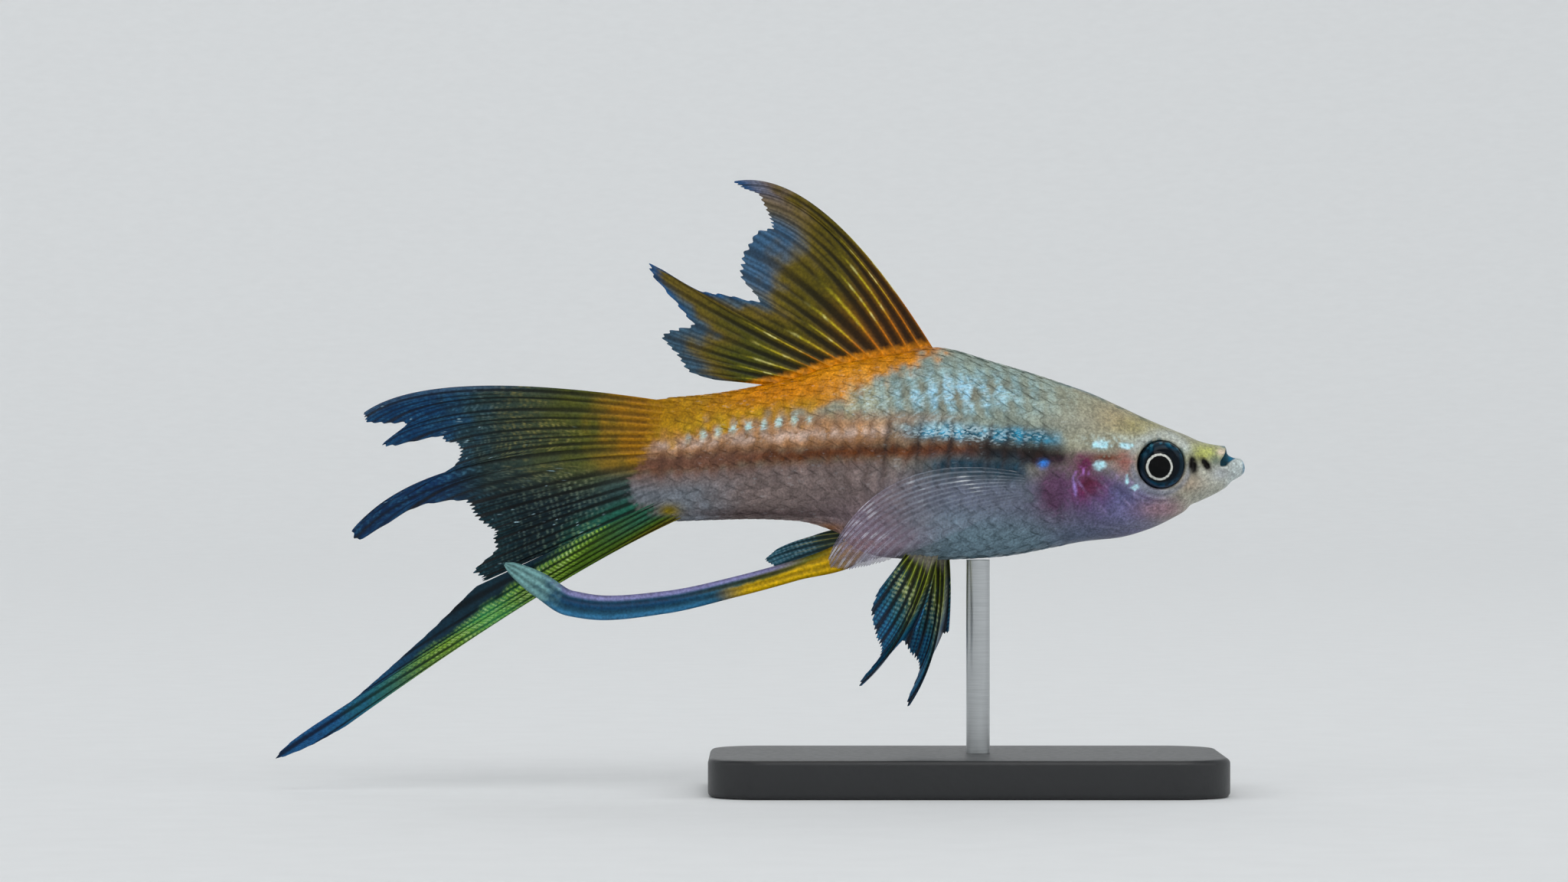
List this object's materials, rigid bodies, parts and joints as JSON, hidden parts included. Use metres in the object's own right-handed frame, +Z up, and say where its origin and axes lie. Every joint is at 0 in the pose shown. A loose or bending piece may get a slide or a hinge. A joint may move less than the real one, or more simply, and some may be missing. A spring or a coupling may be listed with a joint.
{
  "type": "swordtail fish model",
  "caption": "Still life-size model of a long-finned male swordtail, on a flat base with one rod.",
  "frame": {"origin": "middle of the stand's underside", "axes": "+X the way the fish faces, +Y to the fish's left, +Z up"},
  "size_m": [0.0902, 0.025, 0.057],
  "materials": {
    "skin": "painted and lacquered, satin",
    "fins": "painted, satin",
    "eyes": "polished",
    "stand_base": "satin black",
    "stand_rod": "brushed"
  },
  "bodies": {
    "root": {"head": "skin", "torso": "skin", "tail_stalk": "skin", "eye_right": "eyes", "eye_left": "eyes", "dorsal_fin": "fins", "tail_fin": "fins", "tail_sword": "fins", "gonopodium": "fins", "pectoral_fin_right": "fins", "pectoral_fin_left": "fins", "pelvic_fin_right": "fins", "pelvic_fin_left": "fins", "stand_base": "stand_base", "stand_rod": "stand_rod"}
  },
  "joints": []
}
